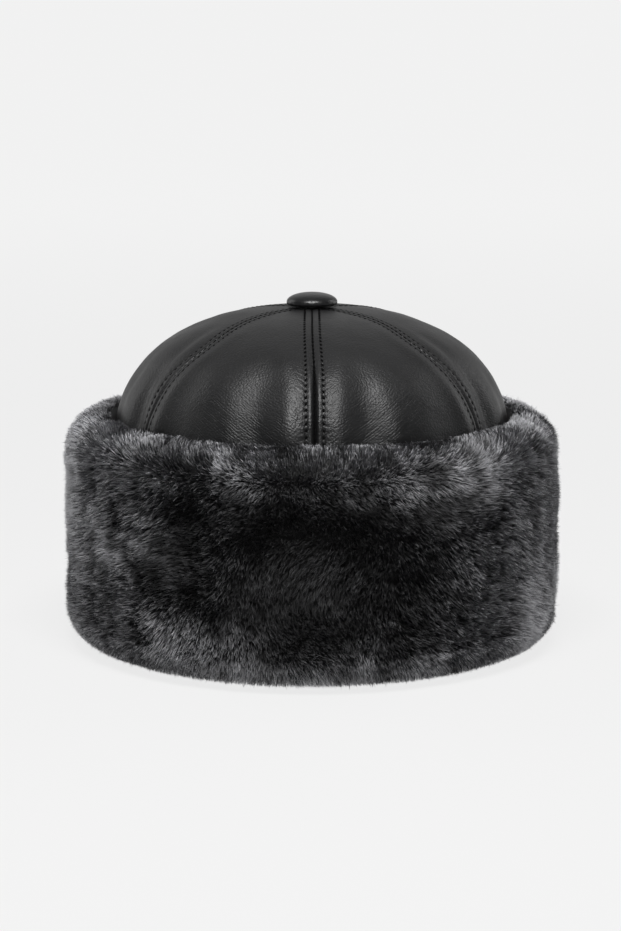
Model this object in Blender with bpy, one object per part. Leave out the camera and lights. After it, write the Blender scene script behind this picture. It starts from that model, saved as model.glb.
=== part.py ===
"""A winter hat: a leather crown of six gores under a covered button, in a tall turned-up fur cuff.

It stands on its cuff, +Z up, with its front towards -Y. The origin is on the floor, under the button.
A bearing is an angle round the hat from its front, positive towards +X. An offset is a distance
outwards from the crown's widest oval, the same all round.
"""

import math
import random

import bmesh
import bpy
from mathutils import Vector

MM = 0.001

# Fur cuff, measured over the tips of the fur.
CUFF_HEIGHT = 116 * MM
CUFF_THICKNESS = 27.5 * MM
CUFF_TOP_DROP = 19 * MM
CUFF_LIP_RADIUS = 4 * MM
CUFF_FOOT_RADIUS = 17 * MM
CUFF_CLEARANCE = 0.3 * MM

# Crown, measured on the outside of the leather, at the seams.
CROWN_HALF_WIDTH = 97 * MM
CROWN_HALF_DEPTH = 106 * MM
CROWN_SHOW = 49.3 * MM
CROWN_GRIP = 19 * MM
CROWN_SIDE_FULLNESS = 2.5
CROWN_TOP_FULLNESS = 2.1
OPENING_DRAW_IN = 4.5 * MM
CROWN_FOOT = 1.0 * MM
LEATHER = 2.0 * MM
APEX_HOLE_RADIUS = 3.0 * MM

# Gores and their seams.
PANEL_GAP = 0.3 * MM
PANEL_PUFF = 1.8 * MM
SEAM_ALLOWANCE = 4.4 * MM
SEAM_RISE = 0.8 * MM
SEAM_GROOVE = 0.8 * MM
FOLD_DEPTH = 3.2 * MM

# Locks of fur.
LOCK_RISE = 2.6 * MM
LOCKS_ROUND = 54
LOCK_ROWS = 8
LOCK_SEED = 4

# Covered button.
BUTTON_RADIUS = 12.6 * MM
BUTTON_HEIGHT = 6.3 * MM
BUTTON_RIM_HEIGHT = 3.2 * MM
BUTTON_CLEARANCE = 0.3 * MM
SHANK_LENGTH = 3.2 * MM

# Mesh density.
DOME_ROWS = 10
WALL_ROWS = 2
SEAM_COLUMNS = (0.4, 1.0)
MIDDLE_COLUMNS = 5
LIP_STEPS = 3
OUTLINE_STEPS = 16
BUTTON_SIDES = 24
BUTTON_CAP_ROWS = 4
BUTTON_RIM_ROWS = 5

CROWN_WIDEST = CUFF_HEIGHT - CROWN_GRIP
CROWN_TOP = CUFF_HEIGHT + CROWN_SHOW

# A lock of fur down its length: share of the lock's length, how much of its height it has there,
# and how far the line is pulled into the lock's own point instead of the point of the lock above.
LOCK_COLUMNS = ("along", "height", "pointing")
LOCK_LINES = (
    (0.0, 0.0, 0.0),
    (0.42, 0.62, 0.5),
    (0.86, 1.0, 1.0),
)
LOCK_SECTION = [dict(zip(LOCK_COLUMNS, row)) for row in LOCK_LINES]
LOCK_POINT = 0.22
LOCK_VALLEY = 0.25

# The gores in order round the hat, each with the bearing in degrees of the seam where it starts.
# The gores at the sides are wider than those at the front and back.
PANEL_COLUMNS = ("name", "start")
PANEL_ROWS = (
    ("front_right", 0),
    ("right", 55),
    ("back_right", 125),
    ("back_left", 180),
    ("left", 235),
    ("front_left", 305),
)
PANELS = [dict(zip(PANEL_COLUMNS, row)) for row in PANEL_ROWS]

# The soft folds that run up the leather from the cuff. Bearing and half width in degrees,
# depth as a share of FOLD_DEPTH, reach as a share of the height from the cuff to the top.
FOLD_COLUMNS = ("bearing", "half_width", "depth", "reach")
FOLD_ROWS = (
    (12, 6, 1.0, 0.8),
    (27, 7, 0.5, 0.5),
    (42, 6, 0.5, 0.6),
    (68, 6, 0.8, 0.8),
    (89, 8, 0.3, 0.6),
    (111, 6, 0.7, 0.7),
    (138, 6, 0.6, 0.6),
    (153, 7, 0.5, 0.5),
    (168, 6, 1.0, 0.7),
    (192, 6, 0.9, 0.7),
    (208, 7, 0.5, 0.5),
    (222, 6, 0.6, 0.6),
    (249, 6, 0.7, 0.7),
    (271, 8, 0.3, 0.6),
    (292, 6, 0.8, 0.8),
    (318, 6, 0.5, 0.6),
    (333, 7, 0.5, 0.5),
    (348, 6, 1.0, 0.8),
)
FOLDS = [dict(zip(FOLD_COLUMNS, row)) for row in FOLD_ROWS]

LEATHER_FINISH = {"color": (0.035, 0.035, 0.036, 1), "roughness": 0.42}
FUR_FINISH = {"color": (0.045, 0.045, 0.048, 1), "roughness": 0.9}


def clear_scene():
    for leftover in list(bpy.data.objects):
        bpy.data.objects.remove(leftover)


def finish_material(name, color, roughness):
    material = bpy.data.materials.new(name)
    material.use_nodes = True
    shader = material.node_tree.nodes["Principled BSDF"]
    shader.inputs["Base Color"].default_value = color
    shader.inputs["Roughness"].default_value = roughness
    shader.inputs["Metallic"].default_value = 0.0
    return material


def add_object(name, bm, material, sharp_angle):
    """Turns a bmesh into one named object, shaded smooth up to the sharp angle."""
    bmesh.ops.recalc_face_normals(bm, faces=bm.faces)
    mesh = bpy.data.meshes.new(name)
    bm.to_mesh(mesh)
    bm.free()
    mesh.shade_smooth()
    mesh.set_sharp_from_angle(angle=math.radians(sharp_angle))
    mesh.materials.append(material)
    made = bpy.data.objects.new(name, mesh)
    bpy.context.scene.collection.objects.link(made)
    return made


def smooth_step(share):
    share = min(max(share, 0.0), 1.0)
    return share * share * (3 - 2 * share)


def grid_faces(bm, rows, wrap_rows=False, wrap_columns=False):
    """Joins rows of vertices with quads. A wrapped side joins its last line to its first."""
    row_pairs = list(zip(rows, rows[1:])) + ([(rows[-1], rows[0])] if wrap_rows else [])
    for upper, lower in row_pairs:
        count = len(upper)
        for i in range(count if wrap_columns else count - 1):
            j = (i + 1) % count
            bm.faces.new((upper[i], upper[j], lower[j], lower[i]))


def oval_point(offset, bearing, level):
    across = (CROWN_HALF_WIDTH + offset) * math.sin(bearing)
    back = -(CROWN_HALF_DEPTH + offset) * math.cos(bearing)
    return Vector((across, back, level))


def dome_offset(level):
    """How far inside the widest oval the dome lies at a level: a superellipse, as a half width."""
    rise = min((level - CROWN_WIDEST) / (CROWN_TOP - CROWN_WIDEST), 1.0)
    fullness = (1 - rise ** CROWN_TOP_FULLNESS) ** (1 / CROWN_SIDE_FULLNESS)
    return CROWN_HALF_WIDTH * (fullness - 1)


def wall_offset(level):
    """The straight part of the crown, hidden by the cuff, draws in to the head opening."""
    return -OPENING_DRAW_IN * smooth_step((CROWN_WIDEST - level) / CROWN_WIDEST)


def crown_offset(level):
    return dome_offset(level) if level > CROWN_WIDEST else wall_offset(level)


def grip(level):
    """0 where the cuff holds the leather flat, 1 where the leather is free above the cuff."""
    return smooth_step((level - CROWN_WIDEST) / CROWN_GRIP)


def height_above_cuff(level):
    return (level - CUFF_HEIGHT) / CROWN_SHOW


def crown_sections():
    """Sections of the crown as (fullness, offset, level), from the button to the head opening.

    A section is the oval at its offset, drawn in towards the middle by its fullness.
    """
    first = math.asin((APEX_HOLE_RADIUS / CROWN_HALF_WIDTH) ** (CROWN_SIDE_FULLNESS / 2))
    dome = []
    for i in range(DOME_ROWS + 1):
        angle = first + (math.pi / 2 - first) * i / DOME_ROWS
        fullness = math.sin(angle) ** (2 / CROWN_SIDE_FULLNESS)
        rise = max(math.cos(angle), 0.0) ** (2 / CROWN_TOP_FULLNESS)
        dome.append((fullness, 0.0, CROWN_WIDEST + (CROWN_TOP - CROWN_WIDEST) * rise))
    wall = []
    for i in range(1, WALL_ROWS + 1):
        level = CROWN_WIDEST + (CROWN_FOOT - CROWN_WIDEST) * i / WALL_ROWS
        wall.append((1.0, wall_offset(level), level))
    return dome + wall


def section_point(section, bearing):
    fullness, offset, level = section
    widest = oval_point(offset, bearing, 0)
    return Vector((widest.x * fullness, widest.y * fullness, level))


def section_normal(above, below, bearing):
    """Outward direction of the smooth crown between two of its sections."""
    down = section_point(below, bearing) - section_point(above, bearing)
    across = oval_point(0, bearing + 0.01, 0) - oval_point(0, bearing - 0.01, 0)
    return down.cross(across).normalized()


def seam_profile(share):
    """Height of the turned seam edge, where share is 0 in the seam and 1 on the stitch line."""
    if share >= 1:
        return 0.0
    swell = math.sin(math.pi * share) ** 0.6
    return SEAM_RISE * swell - SEAM_GROOVE * math.exp(-((share / 0.2) ** 2))


def fold_depth(bearing, level):
    """How far the folds sink here: each is a soft valley that fades out up the crown."""
    sunk = 0.0
    for fold in FOLDS:
        turn = math.degrees(bearing) - fold["bearing"]
        across = ((turn + 180) % 360 - 180) / fold["half_width"]
        fade = 1 - smooth_step(height_above_cuff(level) / fold["reach"])
        sunk += FOLD_DEPTH * fold["depth"] * fade * math.exp(-across * across)
    return sunk * grip(level)


def panel_puff(share, level):
    """Each gore swells between its seams, from where the cuff grips it almost to the top."""
    fade = 1 - smooth_step(height_above_cuff(level)) ** 3
    return PANEL_PUFF * math.sin(math.pi * share) ** 0.7 * grip(level) * fade


def seam_distances(arc):
    """Distances from a gore's first edge to each of its columns, close together at both seams."""
    half = arc / 2
    allowance = min(SEAM_ALLOWANCE, 0.7 * half)
    near = [PANEL_GAP / 2] + [allowance * share for share in SEAM_COLUMNS]
    step = (half - allowance) / MIDDLE_COLUMNS
    first_half = near + [allowance + step * i for i in range(1, MIDDLE_COLUMNS + 1)]
    return first_half + [arc - distance for distance in reversed(first_half[:-1])], allowance


def make_panel(index, material):
    """One gore: its outer face, to which Solidify adds the leather's thickness inwards."""
    bm = bmesh.new()
    sections = crown_sections()
    start = math.radians(PANELS[index]["start"])
    end = math.radians(PANELS[(index + 1) % len(PANELS)]["start"])
    turn = (end - start) % (2 * math.pi)
    rows = []
    for i, section in enumerate(sections):
        above = sections[max(i - 1, 0)]
        below = sections[min(i + 1, len(sections) - 1)]
        level = section[2]
        hoop = section[0] * (CROWN_HALF_WIDTH + CROWN_HALF_DEPTH) / 2
        distances, allowance = seam_distances(hoop * turn)
        row = []
        for distance in distances:
            bearing = start + distance / hoop
            to_seam = min(distance, hoop * turn - distance)
            height = seam_profile(to_seam / allowance) - fold_depth(bearing, level)
            height += panel_puff(distance / (hoop * turn), level)
            out = section_normal(above, below, bearing)
            row.append(bm.verts.new(section_point(section, bearing) + out * height))
        rows.append(row)
    grid_faces(bm, rows)
    panel = add_object("crown_panel_" + PANELS[index]["name"], bm, material, 50)
    wall = panel.modifiers.new("leather", "SOLIDIFY")
    wall.thickness = LEATHER
    wall.offset = -1
    wall.use_even_offset = True
    return panel


def cuff_inner_offset(level):
    """The cuff's inner face: clear of the leather, its puff and the seams that stand proud."""
    proud = max(SEAM_RISE, PANEL_PUFF * grip(level))
    return crown_offset(level) + proud + CUFF_CLEARANCE


def quarter_turn(corner, across, up, steps, from_side):
    """A rounded corner of the cuff: a quarter of an oval, as (offset, level) points.

    The corner is where its two straight sides would meet. The signed reaches across and up lead
    from there back along the level side and the upright side.
    """
    centre = (corner[0] + across, corner[1] + up)
    points = []
    for i in range(steps + 1):
        angle = 0.5 * math.pi * i / steps
        if not from_side:
            angle = 0.5 * math.pi - angle
        points.append((centre[0] - across * math.cos(angle), centre[1] - up * math.sin(angle)))
    return points


def cuff_outline():
    """The cuff's outline under its locks: the lip beside the crown, and the fur side to the foot."""
    lift = 0.6 * LOCK_RISE
    outside = CUFF_THICKNESS - lift
    top = CUFF_HEIGHT - lift
    inside = cuff_inner_offset(top - CUFF_LIP_RADIUS)
    roll_width = outside - inside - CUFF_LIP_RADIUS
    lip = quarter_turn((inside, top), CUFF_LIP_RADIUS, -CUFF_LIP_RADIUS, LIP_STEPS, True)
    roll = quarter_turn((outside, top), -roll_width, -CUFF_TOP_DROP, OUTLINE_STEPS, False)
    foot = quarter_turn((outside, 0.0), -CUFF_FOOT_RADIUS, CUFF_FOOT_RADIUS, OUTLINE_STEPS, True)
    return lip[:-1], roll + foot


def place_on_outline(outline, share):
    """The point at a share of the outline's length, and the outward normal there."""
    lengths = [math.dist(a, b) for a, b in zip(outline, outline[1:])]
    left = sum(lengths) * share
    k = 0
    while k < len(lengths) - 1 and left > lengths[k]:
        left -= lengths[k]
        k += 1
    (x0, z0), (x1, z1) = outline[k], outline[k + 1]
    part = min(left / lengths[k], 1.0)
    normal = ((z0 - z1) / lengths[k], (x1 - x0) / lengths[k])
    return (x0 + (x1 - x0) * part, z0 + (z1 - z0) * part), normal


def lock_sizes():
    """How full each lock of fur is, row by row."""
    chance = random.Random(LOCK_SEED)
    return [[chance.uniform(0.45, 1.0) for _ in range(LOCKS_ROUND)] for _ in range(LOCK_ROWS)]


def fur_ring(outline, sizes, row, line):
    """One line of points round the fur side. Odd rows of locks stand half a lock round.

    Each lock has a column on its middle and one in the valley beside it, and the locks lie like
    tiles: a lock starts under the points of the row above and rises to its own point.
    """
    ring = []
    for column in range(2 * LOCKS_ROUND):
        middle = (column + row) % 2
        pull = middle * line["pointing"] + (1 - middle) * (1 - line["pointing"])
        share = (row + line["along"] + LOCK_POINT * (pull - 0.5)) / LOCK_ROWS
        size = sizes[row][((column + row) // 2) % LOCKS_ROUND]
        height = LOCK_RISE * size * line["height"] * (1.0 if middle else LOCK_VALLEY)
        (offset, level), normal = place_on_outline(outline, min(max(share, 0.0), 1.0))
        ring.append((offset + normal[0] * height, max(level + normal[1] * height, 0.0)))
    return ring


def make_cuff(material):
    """The turned-up fur cuff: a closed ring with locks on its fur side and a flat foot."""
    bm = bmesh.new()
    lip, outline = cuff_outline()
    sizes = lock_sizes()
    columns = 2 * LOCKS_ROUND
    inner_levels = [CROWN_WIDEST * i / WALL_ROWS for i in range(WALL_ROWS + 1)]
    inner = [(cuff_inner_offset(level), level) for level in inner_levels]
    rings = [[point] * columns for point in inner + lip]
    for row in range(LOCK_ROWS):
        for line in LOCK_SECTION:
            rings.append(fur_ring(outline, sizes, row, line))
    rings.append([outline[-1]] * columns)
    vertices = []
    for ring in rings:
        line = []
        for column, (offset, level) in enumerate(ring):
            line.append(bm.verts.new(oval_point(offset, 2 * math.pi * column / columns, level)))
        vertices.append(line)
    grid_faces(bm, vertices, wrap_rows=True, wrap_columns=True)
    return add_object("fur_cuff", bm, material, 60)


def button_profile():
    """The button's half section from its top to the end of its shank, as (radius, level)."""
    seat = CROWN_TOP + SEAM_RISE + BUTTON_CLEARANCE
    rim = BUTTON_RIM_HEIGHT / 2
    cap_height = BUTTON_HEIGHT - rim
    points = []
    for i in range(BUTTON_CAP_ROWS + 1):
        angle = 0.5 * math.pi * i / BUTTON_CAP_ROWS
        level = seat + rim + cap_height * math.cos(angle)
        points.append((BUTTON_RADIUS * math.sin(angle), level))
    for i in range(1, BUTTON_RIM_ROWS + 1):
        angle = 0.5 * math.pi * i / BUTTON_RIM_ROWS
        radius = BUTTON_RADIUS - rim * (1 - math.cos(angle))
        points.append((radius, seat + rim * (1 - math.sin(angle))))
    shank_radius = APEX_HOLE_RADIUS - BUTTON_CLEARANCE - PANEL_GAP
    points.append((shank_radius, seat))
    points.append((shank_radius, seat - SHANK_LENGTH))
    return points


def make_button(material):
    """The leather-covered button, turned about the hat's upright axis."""
    bm = bmesh.new()
    profile = button_profile()
    rings = []
    for radius, level in profile[1:]:
        ring = []
        for i in range(BUTTON_SIDES):
            bearing = 2 * math.pi * i / BUTTON_SIDES
            point = (radius * math.sin(bearing), -radius * math.cos(bearing), level)
            ring.append(bm.verts.new(point))
        rings.append(ring)
    grid_faces(bm, rings, wrap_columns=True)
    top = bm.verts.new((0, 0, profile[0][1]))
    for i in range(BUTTON_SIDES):
        bm.faces.new((top, rings[0][i], rings[0][(i + 1) % BUTTON_SIDES]))
    bm.faces.new(rings[-1])
    return add_object("top_button", bm, material, 50)


def main():
    clear_scene()
    leather = finish_material("leather", **LEATHER_FINISH)
    fur = finish_material("fur", **FUR_FINISH)
    for index in range(len(PANELS)):
        make_panel(index, leather)
    make_cuff(fur)
    make_button(leather)


main()
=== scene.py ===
# %% [markdown]
# # A leather winter hat in a fur cuff
#
# The hat is a dome of six leather gores under a covered button, standing in a tall cuff of deep
# plush fur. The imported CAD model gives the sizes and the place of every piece. This notebook puts
# the real surfaces on it: puffed leather with its seams and stitches, and a pile of fur in which
# every strand is a face or two of geometry.

# %% Load the frame
import itertools
import math

import bpy
import numpy as np
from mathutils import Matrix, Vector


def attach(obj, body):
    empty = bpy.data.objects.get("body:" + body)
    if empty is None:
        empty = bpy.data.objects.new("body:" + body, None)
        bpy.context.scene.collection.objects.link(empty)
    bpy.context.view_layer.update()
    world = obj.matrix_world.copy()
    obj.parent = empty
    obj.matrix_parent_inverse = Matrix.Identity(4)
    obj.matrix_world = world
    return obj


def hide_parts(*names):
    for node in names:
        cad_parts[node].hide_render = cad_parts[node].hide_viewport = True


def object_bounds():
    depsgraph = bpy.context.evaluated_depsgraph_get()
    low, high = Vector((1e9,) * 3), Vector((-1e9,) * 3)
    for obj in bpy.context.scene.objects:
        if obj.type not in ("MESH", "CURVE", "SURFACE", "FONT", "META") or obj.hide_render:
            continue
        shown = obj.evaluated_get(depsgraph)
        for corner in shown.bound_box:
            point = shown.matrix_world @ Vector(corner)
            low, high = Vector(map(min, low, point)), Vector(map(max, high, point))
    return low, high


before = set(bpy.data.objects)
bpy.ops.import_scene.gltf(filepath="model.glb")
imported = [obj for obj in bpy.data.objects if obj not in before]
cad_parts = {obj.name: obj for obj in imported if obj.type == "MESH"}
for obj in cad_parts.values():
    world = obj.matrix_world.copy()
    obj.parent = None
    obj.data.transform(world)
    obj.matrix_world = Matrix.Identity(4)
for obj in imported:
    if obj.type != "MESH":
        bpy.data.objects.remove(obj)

MM = 0.001
cad_box = [list(corner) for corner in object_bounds()]
cad_size = np.subtract(cad_box[1], cad_box[0]) / MM
print("CAD model, mm:", cad_size.round(1))

# %% [markdown]
# ## The sizes that the pieces share
#
# The leather has to lie where the CAD gores lie, and the fur has to end where the CAD cuff ends.
# Both could be read from the CAD meshes, but those have a few thousand triangles, so their facets
# would show. It is better to work the same smooth forms out again from the same few sizes.

# %% Sizes of the crown and the cuff
CROWN_HALF_WIDTH, CROWN_HALF_DEPTH = 97 * MM, 106 * MM
CROWN_WIDEST, CROWN_TOP, CROWN_FOOT = 97 * MM, 165.3 * MM, 1 * MM
SIDE_FULLNESS, TOP_FULLNESS = 2.5, 2.1
OPENING_DRAW_IN = 4.5 * MM
LEATHER = 2 * MM
GORES = ("front_right", "right", "back_right", "back_left", "left", "front_left")
SEAM_BEARINGS = np.radians((0, 55, 125, 180, 235, 305, 360))

CUFF_HEIGHT, CUFF_THICKNESS = 116 * MM, 27.5 * MM
CUFF_TOP_DROP, CUFF_LIP_RADIUS, CUFF_FOOT_RADIUS = 19 * MM, 4 * MM, 17 * MM
CUFF_INSIDE = 1.6 * MM

BUTTON_RADIUS, BUTTON_SEAT, BUTTON_TOP = 12.6 * MM, 166.4 * MM, 172.7 * MM
print("crown shows", round((CROWN_TOP - CUFF_HEIGHT) / MM, 1), "mm above the cuff")

# %% [markdown]
# ## From arrays to meshes
#
# Every new piece is a set of arrays. A grid of points becomes quads by joining each point to its
# neighbours, and foreach_set copies whole arrays into the mesh at once, which is far faster than
# making vertices one by one.


# %% A mesh from arrays
def grid_corners(rows, columns, wrap_rows=False, wrap_columns=False):
    """Corner numbers of each cell of a grid: this point, the next across, below that, below."""
    row, column = np.meshgrid(
        np.arange(rows if wrap_rows else rows - 1),
        np.arange(columns if wrap_columns else columns - 1),
        indexing="ij",
    )
    below, beside = (row + 1) % rows, (column + 1) % columns
    cells = (row * columns + column, row * columns + beside)
    cells += (below * columns + beside, below * columns + column)
    return np.stack(cells, axis=-1).reshape(-1, 4)


def make_piece(name, points, face_sets, materials, sharp=None):
    """One object from points and sets of faces, where each set has its own corner count.

    sharp is the angle in degrees over which an edge is shaded hard, where there is one.
    """
    mesh = bpy.data.meshes.new(name)
    points = np.ascontiguousarray(points, dtype=np.float32).reshape(-1, 3)
    corners = np.concatenate([np.asarray(s[0]).ravel() for s in face_sets])
    totals = np.concatenate([np.full(len(s[0]), np.shape(s[0])[1]) for s in face_sets])
    finish = np.concatenate([np.full(len(s[0]), s[1]) for s in face_sets])
    mesh.vertices.add(len(points))
    mesh.vertices.foreach_set("co", points.ravel())
    mesh.loops.add(len(corners))
    mesh.loops.foreach_set("vertex_index", corners.astype(np.int32))
    mesh.polygons.add(len(totals))
    mesh.polygons.foreach_set("loop_start", (np.cumsum(totals) - totals).astype(np.int32))
    for material in materials:
        mesh.materials.append(material)
    mesh.polygons.foreach_set("material_index", finish.astype(np.int32))
    mesh.update(calc_edges=True)
    mesh.shade_smooth()
    if sharp:
        mesh.set_sharp_from_angle(angle=math.radians(sharp))
    piece = bpy.data.objects.new(name, mesh)
    bpy.context.scene.collection.objects.link(piece)
    triangles = int((totals - 2).sum())
    print(f"{name}: {len(points)} points, {triangles} triangles")
    return piece


# %% [markdown]
# ## Smooth randomness
#
# Leather and fur vary softly from place to place. Blender's own noise isn't available as arrays,
# so this is a small one: random values on a lattice, blended smoothly between its corners. The
# values come from the lattice numbers and a seed, so each run gives the same hat.


# %% Lattice noise
def lattice_value(cell, seed):
    """A value from -1 to 1 for each whole-numbered cell, scrambled by multiplying and mixing."""
    x, y, z = (cell[..., i].astype(np.uint64) for i in range(3))
    mixed = x * np.uint64(73856093) ^ y * np.uint64(19349663) ^ z * np.uint64(83492791)
    mixed = (mixed ^ np.uint64(seed * 2654435761)) & np.uint64(0xFFFFFFFF)
    for _ in range(2):
        mixed = ((mixed >> np.uint64(16)) ^ mixed) * np.uint64(0x45D9F3B) & np.uint64(0xFFFFFFFF)
    mixed = (mixed >> np.uint64(16)) ^ mixed
    return mixed.astype(np.float64) / 0x7FFFFFFF - 1.0


def soft_noise(points, size, seed):
    """Lattice noise: the eight corner values round a point, weighted by smooth steps."""
    place = np.asarray(points) / size + 1000.0
    base = np.floor(place)
    part = place - base
    blend = part * part * (3 - 2 * part)
    total = 0.0
    for corner in itertools.product((0, 1), repeat=3):
        weight = np.prod(np.where(corner, blend, 1 - blend), axis=-1)
        total = total + weight * lattice_value(base + corner, seed)
    return total


def layered_noise(points, layers):
    """The sum of soft noises, each layer with its strength, the size of its spots and its seed."""
    return sum(strength * soft_noise(points, size, seed) for strength, size, seed in layers)


def smooth_step(share):
    """0 below 0, 1 above 1, and 3s^2 - 2s^3 between."""
    share = np.clip(share, 0, 1)
    return share * share * (3 - 2 * share)


print("noise sample:", soft_noise(np.array([[0.01, 0.02, 0.03]]), 0.004, 1).round(3))

# %% [markdown]
# ## Camera
#
# The photograph looks at the front of the hat from about ten degrees above, through a long lens,
# so that the oval of the cuff's foot is a shallow curve. The camera stands 1.5 m away, where one
# pixel is half a millimetre at the middle of the hat.

# %% The camera at the photograph's angle
ELEVATION, DISTANCE = math.radians(10), 1.5
LENS_LENGTH, SENSOR_WIDTH = 116, 36
AIM = np.array((0.0, 0.0, 80 * MM))
AIM_SHIFT_RIGHT, AIM_SHIFT_UP = -0.75 * MM, 5.55 * MM
forward = np.array((0.0, math.cos(ELEVATION), -math.sin(ELEVATION)))
upward = np.array((0.0, math.sin(ELEVATION), math.cos(ELEVATION)))
rightward = np.array((1.0, 0.0, 0.0))
lens = bpy.data.cameras.new("photo_view")
lens.lens, lens.sensor_width = LENS_LENGTH, SENSOR_WIDTH
camera = bpy.data.objects.new("photo_view", lens)
camera.location = AIM - DISTANCE * forward + AIM_SHIFT_UP * upward + AIM_SHIFT_RIGHT * rightward
camera.rotation_euler = (math.pi / 2 - ELEVATION, 0, 0)
bpy.context.scene.collection.objects.link(camera)
bpy.context.scene.camera = camera
print("camera at", np.round(camera.location, 3))

# %% [markdown]
# ## Nodes in few lines
#
# A material is a small network of nodes. These helpers make one node, set it, and link it to the
# sockets it reads, so that a material below reads like a recipe. A finish that several materials
# use is a node group with its own named inputs and outputs.


# %% Node helpers
def set_inputs(tree, node, inputs):
    """Sets a node's inputs. Each is a plain value, or the socket of another node to link."""
    for name, value in inputs.items():
        if isinstance(value, bpy.types.NodeSocket):
            tree.links.new(value, node.inputs[name])
        else:
            node.inputs[name].default_value = value


def add_node(tree, kind, inputs=None, **settings):
    """Adds one node, with its settings and its inputs."""
    node = tree.nodes.new(kind)
    for name, value in settings.items():
        setattr(node, name, value)
    set_inputs(tree, node, inputs or {})
    return node


def calc(tree, operation, *values):
    """One sum in a node tree. Gives its output."""
    return add_node(tree, "ShaderNodeMath", dict(enumerate(values)), operation=operation).outputs[0]


def ranged(tree, value, low, high, start=0.0, end=1.0, way="SMOOTHSTEP"):
    """A value mapped from one range to another, and held at its ends. Gives its output."""
    limits = {"From Min": low, "From Max": high, "To Min": start, "To Max": end}
    node = add_node(tree, "ShaderNodeMapRange", {"Value": value, **limits}, interpolation_type=way)
    return node.outputs["Result"]


def new_group(name, inputs, outputs):
    """A shader node group with float or vector sockets: returns it with its two end nodes."""
    group = bpy.data.node_groups.new(name, "ShaderNodeTree")
    for socket, kind, value in inputs:
        made = group.interface.new_socket(socket, in_out="INPUT", socket_type=kind)
        if value is not None:
            made.default_value = value
    for socket, kind in outputs:
        group.interface.new_socket(socket, in_out="OUTPUT", socket_type=kind)
    return group, group.nodes.new("NodeGroupInput"), group.nodes.new("NodeGroupOutput")


def new_material(name):
    """A material with its Principled shader ready, and the shader's own node."""
    material = bpy.data.materials.new(name)
    material.use_nodes = True
    return material, material.node_tree, material.node_tree.nodes["Principled BSDF"]


FLOAT, VECTOR = "NodeSocketFloat", "NodeSocketVector"
print("node helpers ready")

# %% [markdown]
# ## Floor and light
#
# The photograph has a pale seamless ground, the same grey everywhere but for a faint shadow where
# the fur meets it. A lit floor alone would fade into the distance, so most of its brightness is
# its own, and a small part is lit, which leaves room for that shadow. From below it is clear, so
# that the underside can be looked at.

# %% The pale ground
GROUND_GREY, GROUND_LIT = 0.896, 0.068
GLOW_NEAR, GLOW_FAR = 0.2, 2.6
ground_material, tree, shader = new_material("pale_ground")
middle = add_node(tree, "ShaderNodeTexCoord")
away = add_node(tree, "ShaderNodeVectorMath", {0: middle.outputs["Object"]}, operation="LENGTH")
glow = ranged(tree, away.outputs["Value"], GLOW_NEAR, GLOW_FAR, 0.80, 0.875)
ground_inputs = {"Base Color": (GROUND_LIT, GROUND_LIT, GROUND_LIT, 1), "Emission Color": (1, 1, 1, 1)}
ground_inputs |= {"Roughness": 1, "Specular IOR Level": 0, "Emission Strength": glow}
set_inputs(tree, shader, ground_inputs)
facing = add_node(tree, "ShaderNodeNewGeometry")
clear = add_node(tree, "ShaderNodeBsdfTransparent")
parted = add_node(
    tree,
    "ShaderNodeMixShader",
    {0: facing.outputs["Backfacing"], 1: shader.outputs[0], 2: clear.outputs[0]},
)
shown = next(node for node in tree.nodes if node.type == "OUTPUT_MATERIAL")
tree.links.new(parted.outputs[0], shown.inputs["Surface"])
GROUND_REACH = 40.0
corner = np.array([(-1, -1, 0), (1, -1, 0), (1, 1, 0), (-1, 1, 0)]) * GROUND_REACH
ground = make_piece("ground", corner, [(np.array([[0, 1, 2, 3]]), 0)], [ground_material])

# %% [markdown]
# ## What the leather mirrors
#
# Glossy leather shows its surroundings, so they are shaped like a studio: dark in front, and
# brighter towards the back and a little towards the top, but not at the flanks. That gives the
# crown its light rim and its deep middle. A picture of a studio would do it too, but a few sums on
# the direction need no file. The camera itself sees one even grey in their place, through the
# Light Path node. Three area lamps do the rest: one overhead, and a weaker one behind each side.

# %% The pale surroundings
world = bpy.data.worlds.new("pale_studio")
world.use_nodes = True
bpy.context.scene.world = world
tree = world.node_tree
tree.nodes.clear()
looks = add_node(tree, "ShaderNodeBackground", {"Color": (GROUND_GREY,) * 3 + (1,), "Strength": 1.0})
place = add_node(tree, "ShaderNodeTexCoord")
split = add_node(tree, "ShaderNodeSeparateXYZ", {"Vector": place.outputs["Generated"]})
wall = ranged(tree, split.outputs["Y"], 0.05, 0.95, 0.01, 0.62, "LINEAR")
ceiling = ranged(tree, split.outputs["Z"], 0.1, 0.9, 0.9, 0.95, "LINEAR")
flank = ranged(tree, calc(tree, "ABSOLUTE", split.outputs["X"]), 0.2, 0.9, 1.0, 0.15, "LINEAR")
strength = calc(tree, "MULTIPLY", calc(tree, "MULTIPLY", wall, ceiling), flank)
lights_up = add_node(tree, "ShaderNodeBackground", {"Color": (1, 1, 1, 1), "Strength": strength})
seen = add_node(tree, "ShaderNodeLightPath")
pick = add_node(
    tree,
    "ShaderNodeMixShader",
    {0: seen.outputs["Is Camera Ray"], 1: lights_up.outputs[0], 2: looks.outputs[0]},
)
add_node(tree, "ShaderNodeOutputWorld", {"Surface": pick.outputs[0]})
bpy.context.scene.view_settings.view_transform = "Standard"
print("world:", world.name)

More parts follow.
